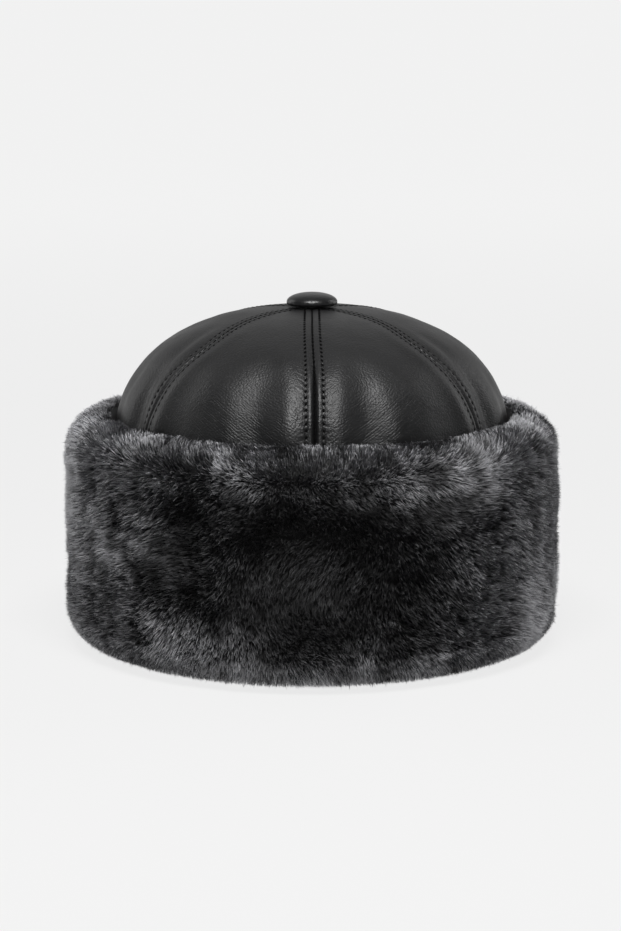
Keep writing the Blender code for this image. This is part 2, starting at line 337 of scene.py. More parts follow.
# %% Soft studio lights
# places and sizes in metres, power in watts
LIGHT_COLUMNS = ("name", "place", "width", "height", "power")
LIGHT_ROWS = (
    ("overhead", (0.0, -0.62, 1.15), 0.6, 0.45, 19.5),
    ("left_window", (-1.35, 0.75, 0.75), 0.8, 1.1, 5.2),
    ("right_window", (1.35, 0.75, 0.75), 0.8, 1.1, 5.0),
)
for row in LIGHT_ROWS:
    spec = dict(zip(LIGHT_COLUMNS, row))
    lamp = bpy.data.lights.new(spec["name"], "AREA")
    lamp.shape, lamp.size, lamp.size_y = "RECTANGLE", spec["width"], spec["height"]
    lamp.energy = spec["power"]
    light = bpy.data.objects.new(spec["name"], lamp)
    light.location = spec["place"]
    toward = AIM - np.array(spec["place"])
    across = math.atan2(toward[1], toward[0]) - math.pi / 2
    down = math.atan2(math.hypot(toward[0], toward[1]), -toward[2])
    light.rotation_euler = (down, 0, across)
    light.visible_camera = False
    bpy.context.scene.collection.objects.link(light)
print("lights:", [row[0] for row in LIGHT_ROWS])

# %% [markdown]
# ## Black leather
#
# Smooth nappa has a grain of rounded pebbles about a millimetre across with fine valleys between,
# and its gloss is uneven where hands and folds have worked it. A cell pattern gives the pebbles, a
# softer noise makes them irregular, and a second noise varies the roughness. These could be cut
# into the mesh, but they are far finer than its faces, so they are bumps.


# %% Grain group
grain, ends_in, ends_out = new_group(
    "leather_grain",
    [("Vector", VECTOR, None), ("Pebble Scale", FLOAT, 1050.0)],
    [("Height", FLOAT), ("Wear", FLOAT)],
)
where = ends_in.outputs["Vector"]
WARP_SCALE, WARP_PUSH, WEAR_SCALE = 420.0, 1.1 * MM, 38.0
warp = add_node(grain, "ShaderNodeTexNoise", {"Vector": where, "Scale": WARP_SCALE, "Detail": 2.0})
pushed = {0: warp.outputs["Color"], "Scale": WARP_PUSH}
push = add_node(grain, "ShaderNodeVectorMath", pushed, operation="SCALE")
moved = add_node(grain, "ShaderNodeVectorMath", {0: where, 1: push.outputs[0]}, operation="ADD")
cells = {"Vector": moved.outputs[0], "Scale": ends_in.outputs["Pebble Scale"], "Smoothness": 0.6}
pebbles = add_node(grain, "ShaderNodeTexVoronoi", cells, feature="SMOOTH_F1")
wear = add_node(grain, "ShaderNodeTexNoise", {"Vector": where, "Scale": WEAR_SCALE, "Detail": 3.0})
set_inputs(grain, ends_out, {"Height": pebbles.outputs["Distance"], "Wear": wear.outputs["Fac"]})

# %% [markdown]
# ## Creases and puckers
#
# Where the leather is gathered it has fine creases, a little over a millimetre apart, that slant up
# and away from the middle seams. Beside each stitch it is puckered. Both follow the seams and not
# the room, so each gore carries two maps of its own as attributes: how far a point lies across and
# along the creases, and away from and along the seam. The third number of each map says how
# strong the mark is there. Two groups turn the maps into heights: a sine with its line bent and
# broken by stretched noise, and a row of dents one stitch apart.

# %% Crease group
CREASE_SPACING = 1.15 * MM
creased, ends_in, ends_out = new_group(
    "fine_creases", [("Vector", VECTOR, None)], [("Height", FLOAT)]
)
place = ends_in.outputs["Vector"]
parts = add_node(creased, "ShaderNodeSeparateXYZ", {"Vector": place})


def crease_noise(squeeze, size):
    """A noise whose spots are long along the creases."""
    long = add_node(creased, "ShaderNodeMapping", {"Vector": place, "Scale": (1.0, squeeze, 0.0)})
    spots = {"Vector": long.outputs[0], "Scale": size, "Detail": 1.0}
    return add_node(creased, "ShaderNodeTexNoise", spots).outputs["Fac"]


waver = calc(creased, "MULTIPLY", crease_noise(0.35, 260.0), 11.0)
phase = calc(creased, "MULTIPLY_ADD", parts.outputs["X"], 2 * math.pi / CREASE_SPACING, waver)
furrow = ranged(creased, calc(creased, "SINE", phase), -0.3, 1.0)
broken = ranged(creased, crease_noise(0.2, 520.0), 0.32, 0.62)
drift = add_node(creased, "ShaderNodeTexNoise", {"Vector": place, "Scale": 70.0})
some = ranged(creased, drift.outputs["Fac"], 0.28, 0.56)
shares = calc(creased, "MULTIPLY", calc(creased, "MULTIPLY", broken, some), parts.outputs["Z"])
height = calc(creased, "MULTIPLY", calc(creased, "MULTIPLY", furrow, shares), -1.0)
set_inputs(creased, ends_out, {"Height": height})

# %% Pucker group
STITCH_PITCH = 3.3 * MM
PUCKER_MIDDLE, PUCKER_REACH = 6.2 * MM, 2.4 * MM
puckered, ends_in, ends_out = new_group(
    "stitch_puckers", [("Vector", VECTOR, None)], [("Height", FLOAT)]
)
parts = add_node(puckered, "ShaderNodeSeparateXYZ", {"Vector": ends_in.outputs["Vector"]})
across, along, amount = (parts.outputs[axis] for axis in "XYZ")
slanted = calc(puckered, "MULTIPLY_ADD", across, 0.3, along)
from_stitch = calc(puckered, "PINGPONG", slanted, STITCH_PITCH / 2)
gathered = ranged(puckered, from_stitch, 0.0, STITCH_PITCH / 2)
outside = calc(puckered, "ABSOLUTE", calc(puckered, "SUBTRACT", across, PUCKER_MIDDLE))
reach = ranged(puckered, outside, 0.0, PUCKER_REACH, 1.0, 0.0)
height = calc(puckered, "MULTIPLY", calc(puckered, "MULTIPLY", gathered, reach), amount)
set_inputs(puckered, ends_out, {"Height": height})
print("groups:", [group.name for group in (grain, creased, puckered)])


# %% Leather material
LEATHER_SPECULAR = 0.42


def mixed_colour(tree, factor, dark, light):
    """A mix of two colours. The node hides sockets of the same names, so these go by number."""
    mix = tree.nodes.new("ShaderNodeMix")
    mix.data_type = "RGBA"
    tree.links.new(factor, mix.inputs[0])
    mix.inputs[6].default_value, mix.inputs[7].default_value = dark, light
    return mix.outputs[2]


def leather_finish(name, dark, light, roughness, grain_depth, pebbles, marks=()):
    """Leather whose colour and gloss drift between two values, with grain and marks as bumps."""
    material, tree, shader = new_material(name)
    place = add_node(tree, "ShaderNodeTexCoord")
    surface = add_node(tree, "ShaderNodeGroup", node_tree=grain)
    set_inputs(tree, surface, {"Vector": place.outputs["Object"], "Pebble Scale": pebbles})
    tone = mixed_colour(tree, surface.outputs["Wear"], dark, light)
    gloss = ranged(tree, surface.outputs["Wear"], 0.3, 0.7, *roughness, "LINEAR")
    pebbled = {"Height": surface.outputs["Height"], "Distance": grain_depth}
    bump = add_node(tree, "ShaderNodeBump", pebbled, invert=True)
    for title, group, deep in marks:
        read = add_node(tree, "ShaderNodeAttribute", attribute_name=title)
        folds = add_node(tree, "ShaderNodeGroup", node_tree=group)
        tree.links.new(read.outputs["Vector"], folds.inputs["Vector"])
        over = {"Height": folds.outputs["Height"], "Distance": deep, "Normal": bump.outputs["Normal"]}
        bump = add_node(tree, "ShaderNodeBump", over)
    finish = {"Base Color": tone, "Roughness": gloss, "Normal": bump.outputs["Normal"]}
    set_inputs(tree, shader, finish)
    shader.inputs["Specular IOR Level"].default_value = LEATHER_SPECULAR
    return material


black_leather = leather_finish(
    "black_leather",
    (0.004, 0.004, 0.0043, 1),
    (0.009, 0.009, 0.0094, 1),
    (0.41, 0.54),
    grain_depth=0.16 * MM,
    pebbles=1050.0,
    marks=(("creases", creased, 0.065 * MM), ("seam_line", puckered, 0.14 * MM)),
)
button_leather = leather_finish(
    "button_leather",
    (0.006, 0.006, 0.0065, 1),
    (0.012, 0.012, 0.0125, 1),
    (0.28, 0.38),
    grain_depth=0.10 * MM,
    pebbles=1150.0,
)
leather_back = leather_finish(
    "leather_back",
    (0.030, 0.029, 0.028, 1),
    (0.045, 0.043, 0.041, 1),
    (0.85, 0.95),
    grain_depth=0.2 * MM,
    pebbles=700.0,
)
print("leather finishes made")

# %% [markdown]
# ## The smooth crown under the leather
#
# The dome is a superellipse turned round an oval: nearly flat on top, full at the sides. Below its
# widest oval a straight wall, hidden in the cuff, draws in to the head opening. A row of the grid
# is a section of that form, and a column runs down the leather from the button.


# %% Rows of the crown
SHOWN_ANGLE, APEX_RADIUS = math.radians(80), 3 * MM
SHOWN_ROWS, HIDDEN_ROWS, WALL_ROWS = 150, 6, 9
first_angle = math.asin((APEX_RADIUS / CROWN_HALF_WIDTH) ** (SIDE_FULLNESS / 2))
shown_angles = np.linspace(first_angle, SHOWN_ANGLE, SHOWN_ROWS)
angles = np.append(shown_angles, np.linspace(SHOWN_ANGLE, math.pi / 2, HIDDEN_ROWS)[1:])
dome_full = np.sin(angles) ** (2 / SIDE_FULLNESS)
dome_rise = np.clip(np.cos(angles), 0, 1) ** (2 / TOP_FULLNESS)
wall_level = np.linspace(CROWN_WIDEST, CROWN_FOOT, WALL_ROWS)[1:]
row_angle = np.concatenate([angles, np.full(len(wall_level), math.pi / 2)])
row_full = np.concatenate([dome_full, np.ones(len(wall_level))])
row_level = np.concatenate([CROWN_WIDEST + (CROWN_TOP - CROWN_WIDEST) * dome_rise, wall_level])
row_offset = -OPENING_DRAW_IN * smooth_step((CROWN_WIDEST - row_level) / CROWN_WIDEST)
row_offset[: len(angles)] = 0
print("crown rows:", len(row_level))


# %% Points and outward directions of the smooth crown
def crown_surface(bearing):
    """The oval at each row's offset, drawn in by its fullness, at each column's bearing."""
    full, offset = row_full[:, None], row_offset[:, None]
    across = (CROWN_HALF_WIDTH + offset) * full * np.sin(bearing)
    back = -(CROWN_HALF_DEPTH + offset) * full * np.cos(bearing)
    points = np.stack([across, back, np.broadcast_to(row_level[:, None], across.shape)], -1)
    down = np.gradient(points, axis=0)
    along = np.stack(
        [CROWN_HALF_WIDTH * np.cos(bearing), CROWN_HALF_DEPTH * np.sin(bearing), 0 * bearing], -1
    )
    normal = np.cross(down, along)
    normal /= np.linalg.norm(normal, axis=-1, keepdims=True)
    return points, normal


def grip(level):
    """0 where the cuff holds the leather flat, 1 where the leather is free above the cuff."""
    return smooth_step((level - CROWN_WIDEST) / (CUFF_HEIGHT - CROWN_WIDEST))


def height_share(level):
    """0 at the cuff's top and 1 at the top of the crown."""
    return (level - CUFF_HEIGHT) / (CROWN_TOP - CUFF_HEIGHT)


# %% [markdown]
# ## How a gore is shaped
#
# Beside each seam the leather is folded under and stitched down, so it makes a raised shiny strip
# with a deep black line at the join. At the stitches it is pulled in, and beyond them it puffs out
# in a soft roll. The seams at the sides are smaller than the two in the middle. Soft valleys run
# up from the cuff where the leather is gathered into it. It could be sculpted or simulated, but
# all of this is a height above the smooth crown, so the whole gore is one sum of simple bumps.

# %% Numbers of the seams and folds
SEAM_DRIFT, SEAM_LEAN = np.radians(5.0), np.radians(0.8)
STITCH_LINE = 4.4 * MM
STITCH_COLUMN_AT = 4.35 * MM
SIDE_SEAM_SIZE = 0.8
NEAR_SEAM = np.array(
    (0.1, 0.28, 0.5, 0.8, 1.15, 1.55, 2.0, 2.5, 3.0, 3.4, 3.75, 4.05, 4.35, 4.65, 5.0, 5.5)
) * MM
TO_MIDDLE = np.linspace(0, 1, 22)[1:] ** 1.1
FOLD_DEPTH, PANEL_PUFF, ROLL_HEIGHT = 3.2 * MM, 1.8 * MM, 1.3 * MM
MIDDLE_CREST, SIDE_CREST = 12.0 * MM, 9.0 * MM
STRIP_MIDDLE, FLAT_MIDDLE = 2.1 * MM, 3.3 * MM
UNEVENNESS = ((0.36 * MM, 17 * MM, 14), (0.16 * MM, 6.5 * MM, 12))
# each fold: bearing and half width in degrees, depth and reach up the crown as shares
FOLDS = np.array((
    (17, 6.2, 1.3, 0.75), (31, 6, 0.4, 0.5), (42, 6, 0.5, 0.6),
    (63.5, 3.8, 1.2, 0.95), (80, 4, 0.4, 0.7), (111, 6, 0.7, 0.7),
    (138, 6, 0.6, 0.6), (153, 7, 0.5, 0.5), (168, 6, 1.0, 0.7),
    (192, 6, 0.9, 0.7), (208, 7, 0.5, 0.5), (222, 6, 0.6, 0.6),
    (249, 6, 0.7, 0.7), (280, 4, 0.4, 0.7), (296.5, 3.8, 1.2, 0.95),
    (318, 6, 0.5, 0.6), (329, 6, 0.4, 0.5), (343, 6.2, 1.3, 0.75),
))
print("folds round the crown:", len(FOLDS))


# %% The height of the leather over the smooth crown
def bell(value, middle, width):
    """1 at the middle, falling away as a bell curve."""
    return np.exp(-(((value - middle) / width) ** 2))


def seam_bearing(number, row_angle):
    """Bearing of a seam at each row: side seams bow halfway down, and middle ones lean a little."""
    straight = SEAM_BEARINGS[number]
    bow = SEAM_DRIFT * (bell(row_angle, 0.6, 0.3) - 0.3 * smooth_step((row_angle - 0.95) / 0.45))
    sideways = np.sign(np.sin(2 * straight)) * (abs(np.sin(2 * straight)) > 0.1)
    lean = SEAM_LEAN * smooth_step((row_angle - 0.3) / 0.6) * (sideways == 0)
    return straight - bow * sideways + lean * np.cos(straight)


def seam_height(distance, scale, opened):
    """The seam's section: a join that opens downwards, a raised strip, a flat before the stitches."""
    near = distance / scale
    join = -(0.6 + 1.5 * opened) * MM * bell(near, 0, (0.42 + 0.2 * opened) * MM)
    strip = (0.2 + 0.45 * opened) * MM * bell(near, STRIP_MIDDLE, 1.0 * MM)
    flat = 0.2 * MM * bell(near, FLAT_MIDDLE, 0.8 * MM)
    return (join + strip + flat) * scale


def stitch_pull(distance, scale, along):
    """Each stitch pulls the leather in under it."""
    held = 0.5 + 0.5 * np.cos(2 * math.pi * along / STITCH_PITCH)
    pull = 0.1 * MM + 0.4 * MM * held**2
    return -pull * bell(distance / scale, STITCH_LINE, 0.65 * MM)


def fold_height(bearing, level):
    """Soft valleys up from the cuff: bell curves across, fading out up the crown."""
    sunk = 0.0
    for middle, width, depth, reach in FOLDS:
        turn = (np.degrees(bearing) - middle + 180) % 360 - 180
        fade = 1 - smooth_step(height_share(level) / reach)
        sunk = sunk + FOLD_DEPTH * depth * fade * bell(turn, 0, width)
    return -sunk * grip(level)


def puff_height(share, distance, crest, level):
    """The gore swells between its seams, and most in a soft roll with its crest beside each."""
    fade = 1 - smooth_step(height_share(level)) ** 3
    swell = PANEL_PUFF * np.sin(math.pi * share) ** 0.7
    roll = ROLL_HEIGHT * bell(distance, crest, 0.54 * crest)
    return (swell + roll) * grip(level) * fade


def soft_unevenness(points, level):
    """Leather never lies quite true: two sizes of gentle swelling, less near the button."""
    calm = grip(level) * (0.35 + 0.65 * smooth_step(1.2 - height_share(level)))
    return layered_noise(points, UNEVENNESS) * calm


# %% The columns of one gore
def seam_distances(arc, scales):
    """Each column's distance from the first seam: close beside both seams, wider between."""
    halves = []
    for scale in scales:
        near = NEAR_SEAM[None, :] * scale
        far = near[:, -1:] + (arc / 2 - near[:, -1:]) * TO_MIDDLE[None, :]
        halves.append(np.concatenate([near, far], axis=1))
    return np.concatenate([halves[0], (arc - halves[1][:, :-1])[:, ::-1]], axis=1)


def walked_down(line):
    """How far down the leather each point of a line lies: the sum of its steps so far."""
    steps = np.linalg.norm(np.diff(line, axis=0), axis=1)
    return np.concatenate([[0], np.cumsum(steps)])


def crease_map(index, run, down, level, to_seam):
    """Across and along the creases, which rise away from the middle seams, and their strength."""
    slant = 1.0 if np.sin(2 * SEAM_BEARINGS[index : index + 2].mean() + 0.01) > 0 else -1.0
    run = slant * run
    lower = smooth_step((0.66 - height_share(level)) / 0.4) * grip(level)
    strength = lower * smooth_step(to_seam / (6 * MM))
    # 0.5 and 0.87 are the sine and the cosine of 30 degrees
    return np.stack([0.5 * run + 0.87 * down, 0.87 * run - 0.5 * down, strength], axis=-1)


# %% The grid of one gore
def gore_grid(index):
    """Outer points of a gore, rows by columns: smooth crown + outward direction * sum of bumps.

    It gives them with their outward directions, what the stitches need, and the maps of marks.
    """
    hoop = row_full * (CROWN_HALF_WIDTH + CROWN_HALF_DEPTH) / 2
    start, end = seam_bearing(index, row_angle), seam_bearing(index + 1, row_angle)
    arc = (hoop * (end - start))[:, None]
    spread_out = (0.84 + 0.14 * smooth_step(row_angle / 1.1))[:, None]
    sizes = [1.0 if number % 3 == 0 else SIDE_SEAM_SIZE for number in (index, index + 1)]
    scales = [np.minimum(size * spread_out, 0.7 * (arc / 2) / STITCH_LINE) for size in sizes]
    distance = seam_distances(arc, scales)
    bearing = start[:, None] + distance / hoop[:, None]
    points, normal = crown_surface(bearing)
    stitch_column = list(NEAR_SEAM).index(STITCH_COLUMN_AT)
    last = points.shape[1] - 1
    lengths = [walked_down(points[:, column]) for column in (stitch_column, last - stitch_column)]

    level = row_level[:, None]
    to_seam = np.minimum(distance, arc - distance)
    on_left = distance < arc / 2
    scale = np.where(on_left, *scales)
    along = np.where(on_left, lengths[0][:, None], lengths[1][:, None])
    middle_seam = np.where(on_left, index % 3 == 0, (index + 1) % 3 == 0)
    low = smooth_step((0.72 - height_share(level)) / 0.3)
    opened = low * np.where(middle_seam, 1.0, 0.25)
    crest = np.where(middle_seam, MIDDLE_CREST, SIDE_CREST)
    height = seam_height(to_seam, scale, opened) + stitch_pull(to_seam, scale, along)
    height = height + fold_height(bearing, level)
    height = height + puff_height(distance / arc, to_seam, crest, level)
    height = height + soft_unevenness(points, level)
    made = points + normal * height[..., None]

    run = (bearing - 0.5 * (start + end)[:, None]) * hoop[:, None]
    down = 0.5 * (lengths[0] + lengths[1])[:, None]
    beside = np.broadcast_arrays(to_seam / scale, along, 0.35 + 0.65 * low)
    creases = crease_map(index, run, down, level, to_seam)
    lines = {"creases": creases, "seam_line": np.stack(beside, axis=-1)}
    sides = (
        (stitch_column, lengths[0], sizes[0]),
        (last - stitch_column, lengths[1], sizes[1]),
        (0, lengths[0], sizes[0]),
    )
    return made, normal, sides, lines


# %% [markdown]
# ## Closing a gore
#
# A sheet of leather has a back too, two millimetres in, and an edge all round. Solidify could add
# them, but with as many faces again as the front. The back is never seen closely, so here it takes
# only every fourth row and column. Its border is joined to the fine border of the outer face by
# triangles, each fine point to the coarse point that it is nearest.


# %% Back and rim of a gore
RIM_SHARP = 70


def thinned(count, step):
    """Every step-th number below count, and the last."""
    return np.unique(np.append(np.arange(0, count, step), count - 1))


def rim_faces(fine, coarse, owner):
    """Triangles between a fine border and a coarse one. owner is each fine point's coarse one."""
    following = np.roll(fine, -1)
    owned, owned_next = coarse[owner], coarse[np.roll(owner, -1)]
    fans = np.stack([fine, owned, following], axis=1)
    turned = owned != owned_next
    gaps = np.stack([following, owned, owned_next], axis=1)[turned]
    return np.concatenate([fans, gaps])


def border(rows, columns):
    """Row and column of each point of a grid's border, once round."""
    top = [(0, c) for c in range(columns)]
    right = [(r, columns - 1) for r in range(1, rows)]
    bottom = [(rows - 1, c) for c in range(columns - 2, -1, -1)]
    left = [(r, 0) for r in range(rows - 2, 0, -1)]
    return np.array(top + right + bottom + left)


def closed_gore(name, outer, normal, lines):
    """The outer grid, a thinner back grid inside it, and the rim that joins them."""
    rows, columns = outer.shape[:2]
    back_rows, back_columns = thinned(rows, 4), thinned(columns, 4)
    back = (outer - normal * LEATHER)[np.ix_(back_rows, back_columns)]
    points = np.concatenate([outer.reshape(-1, 3), back.reshape(-1, 3)])
    front_faces = grid_corners(rows, columns)[:, ::-1]
    back_faces = grid_corners(len(back_rows), len(back_columns)) + rows * columns
    edge = border(rows, columns)
    fine = edge[:, 0] * columns + edge[:, 1]
    back_edge = border(len(back_rows), len(back_columns))
    coarse = back_edge[:, 0] * len(back_columns) + back_edge[:, 1] + rows * columns
    place = np.stack([back_rows[back_edge[:, 0]], back_columns[back_edge[:, 1]]], axis=1)
    reach = np.abs(edge[:, None, :] - place[None, :, :]).sum(axis=2)
    owner = reach.argmin(axis=1)
    rim = rim_faces(fine, coarse, owner)
    sets = [(front_faces, 0), (back_faces, 1), (rim[:, ::-1], 0)]
    gore = make_piece(name, points, sets, [black_leather, leather_back], sharp=RIM_SHARP)
    for title, vectors in lines.items():
        layer = gore.data.attributes.new(title, "FLOAT_VECTOR", "POINT")
        values = np.zeros((len(points), 3), dtype=np.float32)
        values[: rows * columns] = vectors.reshape(-1, 3)
        layer.data.foreach_set("vector", values.ravel())
    return gore


# %% The six gores
gore_seams = []
for index, side in enumerate(GORES):
    outer, normal, sides, lines = gore_grid(index)
    gore = closed_gore("leather_gore_" + side, outer, normal, lines)
    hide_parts("crown_panel_" + side)
    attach(gore, "root")
    gore_seams.append((outer, normal, sides, side))

# %% [markdown]
# ## Stitches
#
# A row of matte black thread runs along both sides of every seam, about 3.3 mm to a stitch. Each
# stitch is short, lies in the dent that it pulls, and leans a little, as machine stitches do. High
# up, where the join is closed, its own thread shows as a fine dotted line. All along each join lies
# a thin black cord too, which is painted shade: a dark piece put in the groove where it is in shade.
# A bump could draw them, but real stitches catch the light on their own sides. So one small capsule
# is worked out once and set along all these rows, and all of them are one mesh.

# %% Thread material
# one matte black for the thread and for the cord of painted shade in each join
thread_and_shade_finish, tree, shader = new_material("matte_thread_and_groove_shade")
place = add_node(tree, "ShaderNodeTexCoord")
strands = add_node(
    tree, "ShaderNodeTexNoise", {"Vector": place.outputs["Object"], "Scale": 2600.0, "Detail": 1.0}
)
twist = {"Height": strands.outputs["Fac"], "Distance": 0.08 * MM}
bump = add_node(tree, "ShaderNodeBump", twist)
shader.inputs["Base Color"].default_value = (0.002, 0.002, 0.0021, 1)
shader.inputs["Roughness"].default_value = 0.9
shader.inputs["Specular IOR Level"].default_value = 0.08
tree.links.new(bump.outputs["Normal"], shader.inputs["Normal"])
print("finish:", thread_and_shade_finish.name)


# %% One stitch
def stitch_shape(rings=4, sides=6):
    """A capsule of length and radius 1, its radius sin(angle)^0.6 so that the ends are blunt."""
    angle = np.linspace(0, math.pi, rings + 2)[1:-1]
    turn = np.arange(sides) * 2 * math.pi / sides
    radius = np.sin(angle) ** 0.6
    along = np.repeat(-0.46 * np.cos(angle), sides)
    up = (radius[:, None] * np.sin(turn)).ravel()
    side = (radius[:, None] * np.cos(turn)).ravel()
    body = np.stack([along, side, up], axis=1)
    points = np.concatenate([body, [(-0.5, 0, 0), (0.5, 0, 0)]])
    quads = grid_corners(rings, sides, wrap_columns=True)
    start, end = np.arange(sides), np.arange(sides) + (rings - 1) * sides
    first_tip, last_tip = len(body), len(body) + 1
    caps = [np.stack([np.full(sides, first_tip), np.roll(start, -1), start], axis=1)]
    caps.append(np.stack([np.full(sides, last_tip), end, np.roll(end, -1)], axis=1))
    return points, quads[:, ::-1], np.concatenate(caps)[:, ::-1]


# %% Where the stitches lie
def stitch_frames(outer, normal, column, along, lowest):
    """Place, direction, side and outward direction of each stitch down one row of them."""
    shown = (row_level > lowest) & (along > BUTTON_RADIUS - 4 * MM)
    start, stop = along[shown][0], along[shown][-1]
    middle = np.arange(math.ceil(start / STITCH_PITCH), int(stop / STITCH_PITCH) + 1) * STITCH_PITCH
    line, out = outer[:, column], normal[:, column]
    at = np.stack([np.interp(middle, along, line[:, i]) for i in range(3)], axis=1)
    ahead = np.stack([np.interp(middle + 1 * MM, along, line[:, i]) for i in range(3)], axis=1)
    up = np.stack([np.interp(middle, along, out[:, i]) for i in range(3)], axis=1)
    forward = ahead - at
    forward -= up * (forward * up).sum(axis=1, keepdims=True)
    forward /= np.linalg.norm(forward, axis=1, keepdims=True)
    return at, forward, np.cross(up, forward), up


# %% All the stitches
# each row: which side of the gore, length, width and raise in mm, lean in degrees, lowest level
# the last row is the thin black cord along the join, painted shade in the groove
THREADS = (
    (0, 2.0, 0.52, 0.30, 26, 103), (1, 2.0, 0.52, 0.30, -26, 103),
    (2, 1.7, 0.44, 0.50, 0, 130), (2, 3.6, 0.30, 0.35, 0, 95),
)
shape, quads, caps = stitch_shape()
all_points = []
for outer, normal, sides, _ in gore_seams:
    for which, long, wide, raised, lean, lowest in THREADS:
        column, along, size = sides[which]
        at, forward, side, up = stitch_frames(outer, normal, column, along, lowest * MM)
        lean = math.radians(lean)
        ahead = forward * math.cos(lean) + side * math.sin(lean)
        beside = np.cross(up, ahead)
        middle = (at + up * raised * MM)[:, None, :]
        reach = shape * np.array((long, wide, wide * 0.7)) * size * MM
        ways = enumerate((ahead, beside, up))
        turned = sum(way[:, None, :] * reach[:, i : i + 1] for i, way in ways)
        all_points.append(middle + turned)
points = np.concatenate(all_points)
step = (np.arange(len(points)) * len(shape))[:, None, None]
stitches = make_piece(
    "seam_stitches_and_groove_shade",
    points,
    [((quads + step).reshape(-1, 4), 0), ((caps + step).reshape(-1, 3), 0)],
    [thread_and_shade_finish],
)
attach(stitches, "root")
print("stitches:", len(points))

# %% [markdown]
# ## The covered button
#
# The button is a metal dome with leather stretched over it and gathered underneath. A flattened
# sphere would come close, but a profile turned about the hat's axis has the edge and the underside
# as well: a low cap, a rounded rim, and a short neck that goes into the hole where the gores meet.

# %% The button's profile
BUTTON_SIDES, BUTTON_RIM = 72, 1.6 * MM
PLEATS, PLEAT_DEPTH, PLEATS_BELOW = 18, 0.012, 2.4 * MM
cap_angle = np.linspace(0, math.pi / 2, 22)[1:]
cap_radius = BUTTON_RADIUS * np.sin(cap_angle) ** 0.92
cap_level = BUTTON_SEAT + BUTTON_RIM + (BUTTON_TOP - BUTTON_SEAT - BUTTON_RIM) * np.cos(cap_angle)
under_angle = np.linspace(0, math.pi / 2, 9)[1:]
under_radius = BUTTON_RADIUS - BUTTON_RIM * (1 - np.cos(under_angle))
under_level = BUTTON_SEAT + BUTTON_RIM * (1 - np.sin(under_angle))
neck_radius = np.array((9.0, 6.0, 2.4, 2.4)) * MM
neck_level = BUTTON_SEAT + np.array((0.1, 0.15, 0.15, -3.0)) * MM
profile_radius = np.concatenate([cap_radius, under_radius, neck_radius])
profile_level = np.concatenate([cap_level, under_level, neck_level])

# %% The button, turned about the hat's axis
turn = np.arange(BUTTON_SIDES) * 2 * math.pi / BUTTON_SIDES
pleated = smooth_step((BUTTON_SEAT + PLEATS_BELOW - profile_level) / MM)[:, None]
gather = 1 + PLEAT_DEPTH * np.cos(PLEATS * turn) * pleated
across = profile_radius[:, None] * gather * np.sin(turn)
back = -profile_radius[:, None] * gather * np.cos(turn)
level = np.broadcast_to(profile_level[:, None], across.shape)
rings = np.stack([across, back, level], axis=-1)
count = rings.shape[0] * BUTTON_SIDES
poles = np.array([(0, 0, BUTTON_TOP), (0, 0, profile_level[-1])])
points = np.concatenate([rings.reshape(-1, 3), poles])
quads = grid_corners(rings.shape[0], BUTTON_SIDES, wrap_columns=True)[:, ::-1]
ring = np.arange(BUTTON_SIDES)
last = ring + count - BUTTON_SIDES
caps = np.concatenate([
    np.stack([np.full(BUTTON_SIDES, count), ring, np.roll(ring, -1)], axis=1),
    np.stack([np.full(BUTTON_SIDES, count + 1), np.roll(last, -1), last], axis=1),
])
button = make_piece("covered_button", points, [(quads, 0), (caps, 0)], [button_leather])
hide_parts("top_button")
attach(button, "root")

# %% [markdown]
# ## The cuff's outline
#
# Cut through, the cuff is a tall rounded bar: a small lip beside the leather, a wide roll over the
# top, a straight side and a round foot. It could be read from the CAD cuff, but that has its locks
# cut into it, and here the strands make them. So the same outline is drawn again from arcs. The
# tips of the fur end on it. The skin that the fur grows from lies some ten millimetres inside it,
# and less at the lip and under the foot, where the pile is pressed.


# %% Outline of the fur's tips
def quarter(centre, across, up, start, stop, steps):
    """Part of an oval round a centre, from one angle to another, as (offset, level)."""
    angle = np.radians(np.linspace(start, stop, steps))
    return np.stack([centre[0] + across * np.cos(angle), centre[1] + up * np.sin(angle)], axis=1)


FOOT_INSIDE = -2.5 * MM
lip_centre = (CUFF_INSIDE + CUFF_LIP_RADIUS, CUFF_HEIGHT - CUFF_LIP_RADIUS)
roll_width = CUFF_THICKNESS - lip_centre[0]
roll_centre = (lip_centre[0], CUFF_HEIGHT - CUFF_TOP_DROP)
foot_centre = (CUFF_THICKNESS - CUFF_FOOT_RADIUS, CUFF_FOOT_RADIUS)
outline = np.concatenate([
    quarter(lip_centre, CUFF_LIP_RADIUS, CUFF_LIP_RADIUS, 180, 95, 12),
    quarter(roll_centre, roll_width, CUFF_TOP_DROP, 90, 0, 40),
    quarter(foot_centre, CUFF_FOOT_RADIUS, CUFF_FOOT_RADIUS, 0, -90, 40),
    [(FOOT_INSIDE, 0.0)],
])
steps = np.linalg.norm(np.diff(outline, axis=0), axis=1)
walk = np.concatenate([[0], np.cumsum(steps)])
OUTLINE_LENGTH = walk[-1]
FUR_ROWS = 240
row_walk = np.linspace(0, OUTLINE_LENGTH, FUR_ROWS)
tips_line = np.stack([np.interp(row_walk, walk, outline[:, i]) for i in range(2)], axis=1)
slope = np.gradient(tips_line, axis=0)
slope /= np.linalg.norm(slope, axis=1, keepdims=True)
tips_normal = np.stack([-slope[:, 1], slope[:, 0]], axis=1)
print("outline of the fur, mm:", round(OUTLINE_LENGTH / MM, 1))

# %% Outline of the skin
# how deep the skin lies under the tips, by the distance walked along the outline, both in mm
PILE_DEPTH = ((0, 2.5), (7, 4.5), (20, 9.5), (36, 11), (110, 11), (128, 9.5), (142, 5), (160, 4))
pile_walk, pile_depth = np.array(PILE_DEPTH).T * MM
depth = np.interp(row_walk, pile_walk, pile_depth)
skin_line = tips_line - tips_normal * depth[:, None]
print("skin starts and ends at, mm:", (skin_line[[0, -1]] / MM).round(1).tolist())


